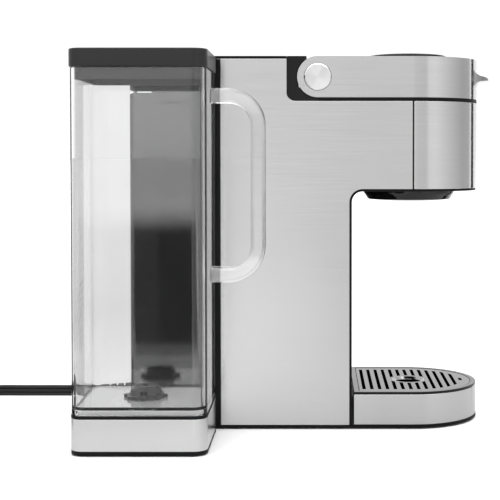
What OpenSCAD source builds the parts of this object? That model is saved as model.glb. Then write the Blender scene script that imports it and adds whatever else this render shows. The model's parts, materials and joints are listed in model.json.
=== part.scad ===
// Single-serve countertop brewer: steel-skinned tower and head, hinged lid, side-mounted
// clear reservoir on a dock, and a lift-off drip tray.
// Everything is drawn about the spout axis (X = 0, Y = 0, front towards -Y, counter at Z = 0).
// placed() then moves it so that the origin lies under the middle of the footprint.

/* [Body] */
// Width across the steel side panels
body_w = 120; // [119:0.5:121]
// Height of the tower's top cover above the counter
body_h = 315.6; // [314:0.2:317]
// Distance from the spout axis back to the rear face
body_rear = 240; // [238:1:244]
// Distance from the spout axis back to the rear edge of the side panels
panel_rear = 163.4; // [162:0.2:165]
// Thickness of the steel skins
steel_t = 1; // [0.8:0.1:1.1]
// Wall thickness of the plastic mouldings
wall_t = 2.2; // [2:0.1:2.4]
// Thickness of the base plate under the body and tray
base_t = 2.1; // [2:0.1:2.4]

/* [Head] */
// Height of the lower edge of the head's steel skin
head_bottom = 203.4; // [202:0.2:205]
// Height of the upper edge of the head's steel skin
deck_z = 277.8; // [277:0.2:278]
// Distance from the spout axis back to the tower's front edge
tower_front = 54.4; // [54:0.2:55]
// Radius of the cove between tower and head
cove_r = 11; // [10:0.5:12]
// Distance from the spout axis back to the wall behind the hinge
notch_y = 107.4; // [107:0.2:109]
// Inner radius of the pod holder at its rim
pod_r = 25.6; // [25.2:0.1:26]

/* [Lid] */
// Height of the lid's steel band
lid_h = 34.6; // [34:0.2:34.6]
// Distance from the spout axis back to the hinge axis
hinge_y = 81.3; // [81:0.1:81.6]
// How far the lid opens, in degrees
lid_open = 55; // [40:1:56]
// Diameter of the hinge shaft
shaft_d = 6; // [5:0.5:7]
// Radius of the round control panel
panel_r = 35.5; // [34:0.5:37]
// Radius of the brew key
brew_key_r = 11; // [9:0.5:12]
// Radius of each small key
small_key_r = 4.5; // [3.5:0.5:5]
// Reach of the lift tab in front of the spout axis
tab_reach = 71; // [70:0.5:72]

/* [Reservoir] */
// Width of the dock across X
dock_w = 92.2; // [91:0.2:93]
// Depth of the dock along Y
dock_d = 106.3; // [104:0.1:108]
// Distance from the spout axis back to the dock's front face
dock_front = 166.6; // [166:0.2:168]
// Radius of the dock's upright corners
dock_corner_r = 11; // [10:0.5:12]
// Wall thickness of the clear tank
tank_t = 3; // [2.6:0.1:3.2]
// Height of the tank's rim above the counter
tank_top = 299.6; // [297:0.2:300]
// Thickness of the tank handle, measured in its own plane
handle_t = 12; // [11:0.5:13]
// Width of the tank handle across X
handle_w = 17; // [15:0.5:20]

/* [Drip tray] */
// Height of the tray's rim above the counter
tray_h = 31.5; // [30.5:0.5:32]
// Distance between the grate's slots
slot_pitch = 6.75; // [6.5:0.05:7]
// Width of one slot
slot_w = 2.9; // [2.5:0.1:3.2]
// Number of long slots across the grate
slot_count = 13; // [11:1:13]

/* [Power cord] */
// Width of the flat power cord
cord_d = 9.5; // [9:0.1:9.6]
// Radius of the stowed coil, measured to the middle of the cord
coil_r = 55; // [52:1:56]

/* [Hidden] */
$fn = 96;
eps = 0.01;
far = 400;

// Colours
steel = "#c9cac9";
bright_steel = "#dededc";
black = "#1b1b1d";
gloss_black = "#101012";
charcoal = "#2c2b2d";
rubber_black = "#232323";
clear = [0.86, 0.9, 0.92, 0.35];
board_green = "#1f5a3c";
hose_white = "#d8d6cc";
frame_grey = "#3a3a3d";
seal_grey = "#7d7f80";
pale_seal = "#b9bbbb";
print_grey = "#8f9496";

// Body
half_w = body_w / 2;
fit_gap = 0.2;                              // between mouldings of one body
move_gap = 0.3;                             // between pieces that move apart
foot_h = 1.2;                               // how far the rubber feet stand proud
base_top = foot_h + base_t;
seam_y = 0.6;                               // upright seam between fascia and side panels
seam_gap = 1.1;
cover_t = 2.2;
cover_z = body_h - cover_t;
frame_half = half_w - steel_t - fit_gap;    // outer half width of the chassis walls
liner_t = 2;
liner_half = half_w - 0.6;
rear_corner_r = 6;
rear_wall_t = 2.5;
notch_fillet_r = 7;
shelf_t = 3;
pump_shelf_z = 60;
heater_shelf_z = 150;

// Hinge and lid
lid_bottom = deck_z + 3.1;
lid_r = lid_h / 2;
hinge_z = lid_bottom + lid_r;
deck_t = lid_bottom - move_gap - deck_z;
cradle_r = lid_r + 0.8;
lug_x = 34;
lug_t = 7;
lug_r = 8;
lug_gap = 0.5;
shaft_r = shaft_d / 2;
shaft_play = 0.06;
band_t = 1.4;
shell_half = half_w - band_t - fit_gap;
shell_inset = 0.3;
shell_t = 2.5;
shell_top = lid_bottom + lid_h - shell_inset;
panel_y = 2;
panel_top = 320;
key_dish_r = 40;
key_dish = 0.5;
key_play = 0.3;
key_bottom = shell_top + 1.3;
key_circle_r = 23;
cap_r = 11.4;
cap_t = 1;

hose_d = 8;
brew_hose_z = 296;                          // height at which the brew hose crosses to the hinge

shelf_hole = [38, 72];                      // hose holes in the shelves, mirrored in X
shelf_hole_r = 7;
inlet_hole_r = 14;                          // hole under the heater
heater_at = [0, 118];
heater_r = 34;
pump_port_y = 81;
pump_port_z = 87;

// Pod bay
socket_r = 32;
socket_z = 212;
socket_floor_t = 2;
socket_hole_r = 26;
holder_r = 29;
holder_lip_r = 31;
holder_lip_t = 2;
cavity_z = 234;                             // floor of the pod's cavity
drain_r = 2;
shroud_r = 40.3;
shroud_bottom = 191.4;
spout_r = 6;
spout_z = 196;
bore_r = 3.5;

// Reservoir and dock
dock_left = -half_w - 0.2 - dock_w;
dock_right = -half_w - 0.2;
dock_mid = [(dock_left + dock_right) / 2, dock_front + dock_d / 2];
dock_foot_bottom = 0.6;
dock_foot_top = 3.7;
dock_floor_z = 4;
dock_steel_top = 28.7;
dock_top = 31;
tank_bottom = dock_top + move_gap;
tank_inset = 0.4;
tank_body_gap = 2.8;
tank_w = dock_w - tank_inset - tank_body_gap;
tank_d = dock_d - 2 * tank_inset;
tank_mid = [dock_left + tank_inset + tank_w / 2, dock_mid[1]];
floor_z = 35;
floor_t = 2.5;
floor_top = floor_z + floor_t;
lid_cap_top = 314.1;
lid_cap_bottom = tank_top + move_gap;
lid_overhang = 1;
skirt_bottom = 290.2;
skirt_play = 0.4;
skirt_t = 2;
lid_cap_t = 2.5;
valve_at = [tank_mid[0], tank_mid[1]];
valve_hole_r = 11;
recess_inset = 1.5;                         // of the recess under the tank's floor
supply_y = dock_mid[1] - 12;                // where the hose and arm cross into the tower
handle_x = tank_mid[0];
handle_front = 128.9;                       // middle of the upright grip
handle_top = 279.4;
handle_low = 136.3;
handle_bend_r = 23.5;
handle_edge_r = 3;
tank_front = dock_front + tank_inset;

// Drip tray
tray_rear = 50.6;
tray_gap = 0.3;
rim_t = 2.2;
rim_w = 4.6;
pan_t = 2.5;
pan_ledge = 2.5;                            // that the grate rests on
tray_half = half_w - 0.2;
grate_half = tray_half - rim_w - 0.4;
grate_t = 2.6;
grate_top = tray_h - 0.3;
slot_first_y = 41.3;
slot_reach = 46.2;
short_slot_reach = 5;
slot_ring_r = 17.4;
ring_r = 14.8;
ring_lip = 1.4;
ring_lip_t = 0.75;
drip_hole_r = 11.3;

// Cord: round numbers, chosen by hand along the path from the strain relief to the coil
cord_route = [
    [0, 276, 21], [0, 290, 21], [0, 308, 21], [0, 326, 21], [0, 346, 21], [0, 366, 21],
    [0, 376, 20], [0, 384, 17.5], [0, 392, 13.3], [0, 400, 9.1], [0, 408, 6.6],
    [0, 418, 5.6], [0, 425, 5.6]
];
coil_at = [-coil_r, 425];
coil_z = 0.8;
cord_sides = 12;
relief_end = 276;
plug_at = [4, 426, 13];                     // back of the plug's strain relief
plug_turn = -20;

// Footprint: the origin goes under its middle
foot_x0 = dock_left - 0.6;
foot_x1 = half_w + cap_t;
foot_y0 = -tab_reach;
foot_y1 = dock_front + dock_d + 0.7;
origin_shift = [-(foot_x0 + foot_x1) / 2, -(foot_y0 + foot_y1) / 2, 0];

// ---------- shared shapes ----------

module placed() translate(origin_shift) children();

// Outline in (Y, Z) pushed along X from x0 to x1
module along_x(x0, x1) translate([x0, 0, 0]) rotate([90, 0, 90]) linear_extrude(x1 - x0) children();

// Plan of the body: half circle at the front, straight sides back to y = rear
module d_plan(half, rear) {
    difference() {
        circle(half);
        translate([-2 * half, 0]) square(4 * half);
    }
    translate([-half, 0]) square([2 * half, rear]);
}

// Rounded rectangle about its own middle
module rounded_rect(w, d, r) {
    square([w - 2 * r, d], center = true);
    square([w, d - 2 * r], center = true);
    for (x = [-1, 1], y = [-1, 1]) translate([x * (w / 2 - r), y * (d / 2 - r)]) circle(r);
}

// Upright rounded block between two heights
module block(mid, w, d, r, z0, z1) {
    translate([mid[0], mid[1], z0]) linear_extrude(z1 - z0) rounded_rect(w, d, r);
}

// Region in front of y and below z, its inner corner rounded to r: the cup bay in side view
module bay_section(y, z, r) {
    translate([-far, -far]) square([far + y, far + z - r]);
    translate([-far, -far]) square([far + y - r, far + z]);
    translate([y - r, z - r]) circle(r);
}

// Region in front of y and above z, its inner corner rounded to r: the lid notch in side view
module notch_section(y, z, r) {
    translate([-far, z + r]) square([far + y, far]);
    translate([-far, z]) square([far + y - r, far]);
    translate([y - r, z + r]) circle(r);
}

// Side outline of the tower and head, from y0 back to y1 and from z0 up to z1
module side_outline(y0, y1, z0, z1, gap) {
    difference() {
        translate([y0, z0]) square([y1 - y0, z1 - z0]);
        bay_section(tower_front + gap, head_bottom + gap, cove_r);
        notch_section(notch_y + gap, deck_z - gap, notch_fillet_r);
    }
}

// Side outline of the lid: a bar whose rear end is a half circle on the hinge
module lid_outline(inset) {
    translate([-half_w, lid_bottom + inset]) square([half_w + hinge_y, lid_h - 2 * inset]);
    translate([hinge_y, hinge_z]) circle(lid_r - inset);
}

// Straight-sided hose through a list of points, with ball corners
module hose(points, d) {
    for (i = [0 : len(points) - 2]) {
        run = points[i + 1] - points[i];
        length = norm(run);
        translate(points[i]) rotate([0, acos(run[2] / length), atan2(run[1], run[0])])
            cylinder(d = d, h = length);
        if (i > 0) translate(points[i]) sphere(d = d);
    }
}

// Round tube swept along a list of points that never runs upright
function unit(v) = v / norm(v);
function heading(path, i) = unit(path[min(i + 1, len(path) - 1)] - path[max(i - 1, 0)]);
function sideways(t) = unit(cross(t, [0, 0, 1]));
module swept_tube(path, r, sides) {
    last = len(path) - 1;
    points = [for (i = [0 : last]) let (t = heading(path, i), a = sideways(t), b = cross(a, t))
        for (k = [0 : sides - 1]) path[i] + r * (cos(360 * k / sides) * a + sin(360 * k / sides) * b)];
    walls = [for (i = [0 : last - 1], k = [0 : sides - 1]) let (n = (k + 1) % sides)
        [i * sides + k, i * sides + n, (i + 1) * sides + n, (i + 1) * sides + k]];
    ends = [[for (k = [sides - 1 : -1 : 0]) k], [for (k = [0 : sides - 1]) last * sides + k]];
    polyhedron(points, concat(walls, ends));
}

// ---------- body ----------

foot_spots = [[-44, -20], [44, -20], [-44, 80], [44, 80], [-44, 224], [44, 224]];
dock_foot_spots = [for (x = [-30, 30], y = [-36, 36]) dock_mid + [x, y]];
foot_r = 7;
foot_pocket = 1.6;

base_rib_w = 60;
base_rib_d = 170;
base_rib_h = 3;

module foot_pockets(spots) {
    for (p = spots) translate([p[0], p[1], 0]) cylinder(r = foot_r + fit_gap, h = foot_h + foot_pocket);
}

screw_spots = [for (x = [-52, 52], y = [64, 150, 185]) [x, y]];
screw_r = 1.5;
screw_boss_r = 6;
screw_boss_h = 14;
screw_head_r = 3.2;
screw_head_t = 1.1;
screw_len = 12;
hex_r = 1.2;

module base_plate() placed() color(black) difference() {
    union() {
        translate([0, 0, foot_h]) linear_extrude(base_t) d_plan(half_w, body_rear - rear_corner_r);
        block([0, body_rear - half_w], body_w, body_w, rear_corner_r, foot_h, base_top);
        translate([0, (tower_front + body_rear) / 2, base_top]) linear_extrude(base_rib_h) difference() {
            square([base_rib_w, base_rib_d], center = true);
            square([base_rib_w - 2 * wall_t, base_rib_d - 2 * wall_t], center = true);
        }
    }
    foot_pockets(foot_spots);
    for (p = screw_spots) translate([p[0], p[1], -eps]) {
        cylinder(r = screw_r + fit_gap, h = 20);
        cylinder(r = screw_head_r + fit_gap, h = foot_h + 1.4);
    }
}

module rubber_feet() placed() color(rubber_black)
    for (p = concat(foot_spots, dock_foot_spots)) translate([p[0], p[1], 0])
        cylinder(r1 = foot_r - 0.8, r2 = foot_r, h = foot_h + foot_pocket - 0.05);

module base_screws() placed() color(bright_steel)
    for (p = screw_spots) translate([p[0], p[1], foot_h + 0.2]) difference() {
        union() {
            cylinder(r = screw_head_r, h = screw_head_t);
            cylinder(r = screw_r, h = screw_len);
        }
        translate([0, 0, -eps]) cylinder(r = hex_r, h = 0.8, $fn = 6);
    }

// Bosses that the base screws bite into, for the screws between two distances back
module screw_bosses(y0, y1) {
    for (p = screw_spots) if (p[1] > y0 && p[1] < y1) translate([p[0], p[1], base_top + fit_gap])
        cylinder(r = screw_boss_r, h = screw_boss_h);
}

// Plastic inner frame: side walls that carry the skins, the head's front wall and two shelves
module chassis() placed() color(frame_grey) difference() {
    union() {
        intersection() {
            linear_extrude(cover_z - fit_gap) difference() {
                d_plan(frame_half, panel_rear - fit_gap);
                d_plan(frame_half - wall_t, far);
            }
            along_x(-frame_half, frame_half)
                side_outline(-half_w, panel_rear, base_top + fit_gap, cover_z - fit_gap, fit_gap);
        }
        for (z = [pump_shelf_z, heater_shelf_z]) translate([-frame_half + 1, tower_front + 3, z])
            cube([2 * frame_half - 2, panel_rear - tower_front - 6, shelf_t]);
        screw_bosses(0, panel_rear);
    }
    for (p = screw_spots) translate([p[0], p[1], 0]) cylinder(r = screw_r, h = screw_len + 4);
    // hose and loom holes in the shelves
    for (x = [-shelf_hole[0], shelf_hole[0]]) for (z = [pump_shelf_z, heater_shelf_z])
        translate([x, shelf_hole[1], z - 1]) cylinder(r = shelf_hole_r, h = shelf_t + 2);
    translate([heater_at[0], heater_at[1], heater_shelf_z - 1]) cylinder(r = inlet_hole_r, h = shelf_t + 2);
}

module side_panel() along_x(-half_w, -half_w + steel_t)
    side_outline(seam_y + seam_gap / 2, panel_rear, base_top, cover_z, 0);

module left_side_panel() placed() color(steel) side_panel();

module right_side_panel() placed() color(steel) mirror([1, 0, 0]) side_panel();

// Half-round steel skin of the head
module front_fascia() placed() color(steel) difference() {
    translate([0, 0, head_bottom]) linear_extrude(deck_z - head_bottom) difference() {
        circle(half_w);
        circle(half_w - steel_t);
        translate([-far / 2, seam_y - seam_gap / 2]) square([far, far]);
    }
}

// Black lining of the cup bay: tower front, cove and head underside in one moulding
module bay_liner() placed() color(black) difference() {
    intersection() {
        along_x(-liner_half, liner_half) intersection() {
            difference() {
                bay_section(tower_front, head_bottom, cove_r);
                bay_section(tower_front - liner_t, head_bottom - liner_t, cove_r - liner_t);
            }
            translate([-half_w, base_top]) square([2 * half_w, head_bottom]);
        }
        linear_extrude(far) d_plan(liner_half, tower_front);
    }
    translate([0, 0, head_bottom - 2 * liner_t]) cylinder(r = shroud_r + move_gap, h = 4 * liner_t);
}

// Round dish around the spout
module outlet_shroud() placed() color(gloss_black) rotate_extrude() polygon([
    [shroud_r, head_bottom + 5], [shroud_r, 199.5], [36.5, 193.4], [20, 191.8], [9, shroud_bottom],
    [9, shroud_bottom + 2], [20, 193.8], [35.4, 195.4], [shroud_r - 2, 200.2],
    [shroud_r - 2, head_bottom + 5]
]);

vent_count = 9;
vent_w = 60;
vent_h = 2.6;
vent_pitch = 7;
vent_z0 = 60;

// Window for the dock's arm and hose, from the dock's middle and the counter
window_y0 = -22;
window_z0 = 8;
window_d = 34;
window_h = 16;

// Black rear shell of the tower, with louvres in its back
module rear_housing() placed() color(black) difference() {
    union() {
        linear_extrude(cover_z) difference() {
            translate([0, body_rear - half_w]) rounded_rect(body_w, body_w, rear_corner_r);
            translate([0, body_rear - half_w - rear_wall_t])
                rounded_rect(body_w - 2 * rear_wall_t, body_w, rear_corner_r - rear_wall_t);
            translate([-far / 2, -far + panel_rear]) square([far, far]);
        }
        screw_bosses(panel_rear, body_rear);
    }
    for (p = screw_spots) translate([p[0], p[1], 0]) cylinder(r = screw_r, h = screw_len + 4);
    translate([0, 0, -eps]) linear_extrude(base_top + eps) square(far * 2, center = true);
    // louvres, cord outlet and the dock's window
    for (i = [0 : vent_count - 1])
        translate([-vent_w / 2, body_rear - 2 * rear_wall_t, vent_z0 + vent_pitch * i])
            cube([vent_w, 4 * rear_wall_t, vent_h]);
    translate([0, body_rear + 5, cord_exit_z]) rotate([90, 0, 0])
        cylinder(r = relief_neck_r + fit_gap, h = 12);
    translate([-half_w - 1, dock_mid[1] + window_y0, window_z0]) cube([rear_wall_t + 2, window_d, window_h]);
}

module top_cover() placed() color(black) translate([0, 0, cover_z]) linear_extrude(cover_t) {
    translate([0, body_rear - half_w]) rounded_rect(body_w, body_w, rear_corner_r);
    translate([-half_w, notch_y]) square([body_w, body_rear - rear_corner_r - notch_y]);
}

// Flat black deck on the head, around the pod holder
module head_deck() placed() color(black) difference() {
    translate([0, 0, deck_z]) linear_extrude(deck_t) d_plan(half_w, hinge_y - fit_gap);
    translate([0, 0, deck_z - 1]) cylinder(r = socket_r - 0.5, h = deck_t + 2);
}

// Cradle behind the lid's round end, with the two lugs that hold the shaft
module hinge_housing() placed() color(black) difference() {
    union() {
        along_x(-liner_half, liner_half) difference() {
            intersection() {
                notch_section(notch_y - fit_gap, deck_z + fit_gap, notch_fillet_r);
                translate([hinge_y, deck_z]) square([60, body_h - deck_z]);
            }
            translate([hinge_y, hinge_z]) {
                circle(cradle_r);
                // room for the opened lid
                rotate(-lid_open) translate([-far, -lid_r]) square([far, 2 * lid_r + 0.4]);
            }
        }
        for (x = [-lug_x, lug_x]) along_x(x - lug_t / 2, x + lug_t / 2) {
            translate([hinge_y, hinge_z]) circle(lug_r);
            translate([hinge_y, deck_z + fit_gap]) square([lug_r, hinge_z - deck_z]);
        }
    }
    along_x(-half_w, half_w) translate([hinge_y, hinge_z]) circle(shaft_r);
    // outlet for the brew hose
    translate([0, notch_y + 1, brew_hose_z]) rotate([90, 0, 0]) cylinder(d = hose_d + 0.4, h = 12);
}

module hinge_shaft() placed() color(bright_steel)
    along_x(-half_w + 3, half_w - 3) translate([hinge_y, hinge_z]) circle(shaft_r);

// ---------- pod bay ----------

module pod_socket() placed() color(black) translate([0, 0, socket_z]) difference() {
    cylinder(r = socket_r, h = deck_z - socket_z - fit_gap);
    translate([0, 0, socket_floor_t]) cylinder(r = holder_r + 0.5, h = far);
    translate([0, 0, -1]) cylinder(r = socket_hole_r, h = socket_floor_t + 2);
}

// Cup that takes the pod, with a funnel and the spout under it
module pod_holder() placed() color(gloss_black) difference() {
    rotate_extrude() polygon([
        [0, spout_z], [spout_r, spout_z], [spout_r, 208], [24, 224], [holder_r - 1, 240],
        [holder_r, deck_z - fit_gap], [holder_lip_r, deck_z - fit_gap],
        [holder_lip_r, deck_z + holder_lip_t], [0, deck_z + holder_lip_t]
    ]);
    // pod cavity, funnel and spout hole
    translate([0, 0, cavity_z]) cylinder(r1 = pod_r - 7, r2 = pod_r, h = deck_z + 3 - cavity_z);
    translate([0, 0, 209]) cylinder(r1 = bore_r, r2 = 19, h = 20);
    translate([0, 0, 190]) cylinder(r = bore_r, h = 20);
    for (a = [60 : 120 : 300]) rotate(a) translate([12, 0, cavity_z - 9]) cylinder(r = drain_r, h = 12);
}

exit_needle_r = 1.4;
exit_needle_len = 7;
module exit_needle() placed() color(bright_steel) translate([0, 8, cavity_z]) difference() {
    union() {
        cylinder(r = exit_needle_r, h = exit_needle_len);
        translate([0, 0, exit_needle_len]) cylinder(r1 = exit_needle_r, r2 = 0.4, h = 3);
    }
    translate([0, 0, -eps]) cylinder(r = exit_needle_r / 2, h = exit_needle_len - 1);
}

// ---------- water circuit and electronics ----------

heater_z0 = heater_shelf_z + shelf_t;
heater_z1 = 250;
heater_wall = 1.5;
heater_cap_t = 12;
nipple_r = 4;
nipple_h = 8;

module heater_tank() placed() color(bright_steel) translate([heater_at[0], heater_at[1], heater_z0])
    difference() {
        cylinder(r = heater_r, h = heater_z1 - heater_z0);
        translate([0, 0, 2 * heater_wall]) cylinder(r = heater_r - heater_wall, h = far);
        translate([0, 0, -1]) cylinder(r = nipple_r, h = 6);
    }

module heater_cap() placed() color(black) translate([heater_at[0], heater_at[1], heater_z1]) {
    difference() {
        cylinder(r = heater_r + 2, h = heater_cap_t);
        translate([0, 0, -eps]) cylinder(r = heater_r - 3, h = 8);
    }
    translate([0, 0, heater_cap_t]) cylinder(r = nipple_r, h = nipple_h);
}

pump_at = [-20, 91];
pump_size = [34, 28, 32];
pump_motor = [14, 34];                      // radius and length
pump_ports = [9, 25];
port_r = 3;
port_len = 10;

// Pump head with its motor behind and two ports in front
module water_pump() placed() color(charcoal) translate([pump_at[0], pump_at[1], pump_shelf_z + shelf_t]) {
    cube(pump_size);
    translate([pump_size[0] / 2, pump_size[1], pump_size[2] / 2]) rotate([-90, 0, 0])
        cylinder(r = pump_motor[0], h = pump_motor[1]);
    for (x = pump_ports) translate([x, 0, pump_port_z - pump_shelf_z - shelf_t]) rotate([90, 0, 0])
        cylinder(r = port_r, h = port_len);
}

board_at = [-42, 206, 90];
board_size = [84, 1.6, 130];
relay_size = [26, 12, 20];
capacitor = [8, 18];                        // radius and length

// Control board with relays on the left and capacitors on the right
module main_board() placed() color(board_green) translate(board_at) {
    cube(board_size);
    for (z = [12, 52, 88]) translate([8, -relay_size[1], z]) cube(relay_size + [0, eps, 0]);
    for (z = [20, 48, 76]) translate([58, eps, z]) rotate([90, 0, 0])
        cylinder(r = capacitor[0], h = capacitor[1]);
}

supply_z = 14;                              // height of the hose from the dock
feed_z = 142;                               // height of the hose under the heater

// From the dock's socket to the pump's left port
module supply_hose() placed() color(hose_white) hose([
    [dock_mid[0], supply_y, supply_z], [-shelf_hole[0], supply_y, supply_z],
    [-shelf_hole[0], shelf_hole[1], supply_z], [-shelf_hole[0], shelf_hole[1], pump_port_z],
    [pump_at[0] + pump_ports[0], shelf_hole[1], pump_port_z],
    [pump_at[0] + pump_ports[0], pump_port_y, pump_port_z]
], hose_d);

// From the pump's right port up to the heater
module feed_hose() placed() color(hose_white) hose([
    [pump_at[0] + pump_ports[1], pump_port_y, pump_port_z],
    [pump_at[0] + pump_ports[1], shelf_hole[1], pump_port_z],
    [shelf_hole[0], shelf_hole[1], pump_port_z], [shelf_hole[0], shelf_hole[1], feed_z],
    [shelf_hole[0], heater_at[1], feed_z], [heater_at[0], heater_at[1], feed_z],
    [heater_at[0], heater_at[1], heater_z0]
], hose_d);

module brew_hose() placed() color(hose_white) hose([
    [heater_at[0], heater_at[1], heater_z1 + heater_cap_t + nipple_h],
    [heater_at[0], heater_at[1], brew_hose_z],
    [0, notch_y - 6, brew_hose_z]
], hose_d);

// ---------- dock ----------

module dock_foot() placed() color(black) difference() {
    union() {
        block(dock_mid, dock_w, dock_d, dock_corner_r, dock_foot_bottom, dock_foot_top);
        block(dock_mid, dock_w - 4, dock_d - 4, dock_corner_r - 2, dock_foot_top - eps, 6);
    }
    translate([0, 0, dock_floor_z]) block(dock_mid, dock_w - 9, dock_d - 9, dock_corner_r - 4, 0, 10);
    foot_pockets(dock_foot_spots);
}

// Opening in the dock's inner side for the arm and the hose
module dock_window() translate([dock_right - 6, dock_mid[1] + window_y0, window_z0])
    cube([12, window_d, window_h]);

module dock_band() placed() color(steel) difference() {
    block(dock_mid, dock_w, dock_d, dock_corner_r, dock_foot_top, dock_steel_top);
    block(dock_mid, dock_w - 2 * steel_t, dock_d - 2 * steel_t, dock_corner_r - steel_t, 0, far);
    dock_window();
}

module dock_deck() placed() color(black) difference() {
    union() {
        block(dock_mid, dock_w, dock_d, dock_corner_r, dock_steel_top, dock_top);
        block(dock_mid, dock_w - 3, dock_d - 3, dock_corner_r - 1.5, 26, dock_steel_top);
    }
    block(dock_mid, dock_w - 7, dock_d - 7, dock_corner_r - 3.5, 25, 27);
    translate([valve_at[0], valve_at[1], 20]) cylinder(r = port_cup_r + fit_gap, h = 20);
}

arm_w = 9;
arm_t = 4;
arm_z = 9;
arm_foot = [10, arm_w, 6];
arm_ends = [dock_mid[0] - 25, -45];         // left edges of its two feet

// Arm that ties the dock to the base of the tower
module dock_arm() placed() color(black) translate([0, dock_mid[1] + 1, 0]) {
    translate([arm_ends[0], 0, arm_z]) cube([arm_ends[1] + arm_foot[0] - arm_ends[0], arm_w, arm_t]);
    for (x = arm_ends) translate([x, 0, x < -half_w ? dock_floor_z : base_top]) cube(arm_foot);
}

port_cup_r = 16;
port_cup_z = 18.2;
port_pin_r = 2.5;
port_pin_top = 32.2;

// Socket that the tank's valve seats on, with the pin that opens it
module dock_port() placed() color(charcoal) translate([valve_at[0], valve_at[1], 0]) {
    difference() {
        translate([0, 0, port_cup_z]) cylinder(r = port_cup_r, h = dock_top - port_cup_z);
        translate([0, 0, 22]) cylinder(r = 13.2, h = 20);
    }
    translate([0, 0, port_cup_z]) cylinder(r = port_pin_r, h = port_pin_top - port_cup_z);
}

// ---------- power cord ----------

cord_exit_z = cord_route[0][2];
relief_neck_r = 7;                          // where it passes through the rear wall
relief_flange = [9, 5];                     // radius and length of the flange inside
relief_root_r = 8;
relief_tip_r = 5.6;
relief_core_r = 4.9;
relief_grooves = 4;
relief_groove_w = 2.4;
relief_groove_pitch = 6.4;

// Ribbed strain relief, drawn as a rubber boot behind the rear wall
module strain_relief() placed() color(rubber_black) {
    translate([0, body_rear - rear_wall_t - relief_flange[1], cord_exit_z]) rotate([-90, 0, 0])
        cylinder(r = relief_flange[0], h = relief_flange[1]);
    translate([0, body_rear - rear_wall_t - eps, cord_exit_z]) rotate([-90, 0, 0])
        cylinder(r = relief_neck_r, h = rear_wall_t + 2 * eps);
    translate([0, body_rear, cord_exit_z]) rotate([-90, 0, 0]) difference() {
        cylinder(r1 = relief_root_r, r2 = relief_tip_r, h = relief_end - body_rear);
        for (i = [0 : relief_grooves - 1]) translate([0, 0, relief_neck_r + relief_groove_pitch * i])
            difference() {
                cylinder(r = relief_root_r + 2, h = relief_groove_w);
                cylinder(r = relief_core_r, h = relief_groove_w);
            }
    }
}

module power_cord() placed() color(rubber_black) swept_tube(cord_route, cord_d / 2, cord_sides);

module cord_coil() placed() color(rubber_black) translate([coil_at[0], coil_at[1], coil_z])
    rotate_extrude() translate([coil_r - cord_d / 2, 0]) square([cord_d, 2 * cord_d]);

tie_w = 12;
tie_t = 0.8;
module cord_tie() placed() color(charcoal)
    translate([coil_at[0] - coil_r, coil_at[1], coil_z + cord_d])
        cube([cord_d + 2 * tie_t, tie_w, 2 * (cord_d + tie_t)], center = true);

relief_len = 34;
plug_w = 24;
plug_len = 30;
plug_face_r = 12.8;
plug_face_t = 5;
blade = [1.5, 17, 6.3];
blade_pitch = 12.7;
earth_pin = [2.4, 19];                      // radius and length
module plug_frame() placed() translate(plug_at) rotate(plug_turn) children();

module power_plug() plug_frame() color(rubber_black) {
    rotate([-90, 0, 0]) cylinder(r1 = 5, r2 = 8, h = relief_len);
    translate([-plug_w / 2, relief_len - 1, -plug_w / 2]) cube([plug_w, plug_len, plug_w]);
    translate([0, relief_len + plug_len - 2, 0]) rotate([-90, 0, 0])
        cylinder(r = plug_face_r, h = plug_face_t);
}

module plug_blades() plug_frame() color(bright_steel)
    translate([0, relief_len + plug_len - 2 + plug_face_t, 0]) {
        for (side = [-0.5, 0.5]) translate([side * blade_pitch - blade[0] / 2, 0, 0]) cube(blade);
        translate([0, 0, -6]) rotate([-90, 0, 0]) cylinder(r = earth_pin[0], h = earth_pin[1]);
    }

// ---------- lid ----------

module lid_band() placed() color(steel) intersection() {
    linear_extrude(far) difference() {
        d_plan(half_w, hinge_y + lid_r);
        d_plan(half_w - band_t, far);
    }
    along_x(-half_w, half_w) lid_outline(0);
}

// Flared tab at the front, in section from the band's face out to the tip
tab_z = 299.2;
tab_plan_r = 26;
module lift_tab() placed() color(steel) intersection() {
    rotate_extrude() translate([0, tab_z]) polygon([
        [half_w + 0.05, 7.2], [half_w + 0.9, 5.2], [half_w + 2.2, 3.9], [half_w + 4.3, 2.4],
        [half_w + 8, 1.7], [tab_reach - 0.4, 0.3], [tab_reach, -0.5], [tab_reach - 0.6, -1.2],
        [half_w + 4.3, -2.3], [half_w + 1.9, -3.6], [half_w + 0.8, -5.2], [half_w + 0.05, -7]
    ]);
    translate([0, tab_plan_r - tab_reach, 0]) cylinder(r = tab_plan_r, h = far);
}

barrel_half = 24;
barrel_hollow = 22;

// Black inner moulding of the lid, hollow, with the shaft's bore through its rear barrel
module lid_shell() placed() color(black) difference() {
    intersection() {
        linear_extrude(far) d_plan(shell_half, far);
        along_x(-shell_half, shell_half) lid_outline(shell_inset);
    }
    translate([0, 0, lid_bottom - 1]) linear_extrude(lid_h - 3)
        d_plan(shell_half - shell_t, hinge_y - barrel_hollow + 1);
    // hollow of the rear barrel between the lugs
    translate([-barrel_half, hinge_y - barrel_hollow, lid_bottom + shell_t + 1])
        cube([2 * barrel_half, barrel_hollow, lid_h - 7]);
    along_x(-barrel_half, barrel_half) translate([hinge_y, hinge_z]) circle(lid_r - shell_t - 1);
    // slots that the lugs swing in
    for (x = [-lug_x, lug_x]) translate([x - lug_t / 2 - lug_gap, hinge_y - lug_r - 1, lid_bottom - 1])
        cube([lug_t + 2 * lug_gap, far, lid_r + lug_r + 2]);
    along_x(-half_w, half_w) translate([hinge_y, hinge_z]) circle(shaft_r + shaft_play);
}

size_key_angles = [-125, -90, -55];
function key_spot(angle) = [key_circle_r * cos(angle), panel_y + key_circle_r * sin(angle)];

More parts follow.
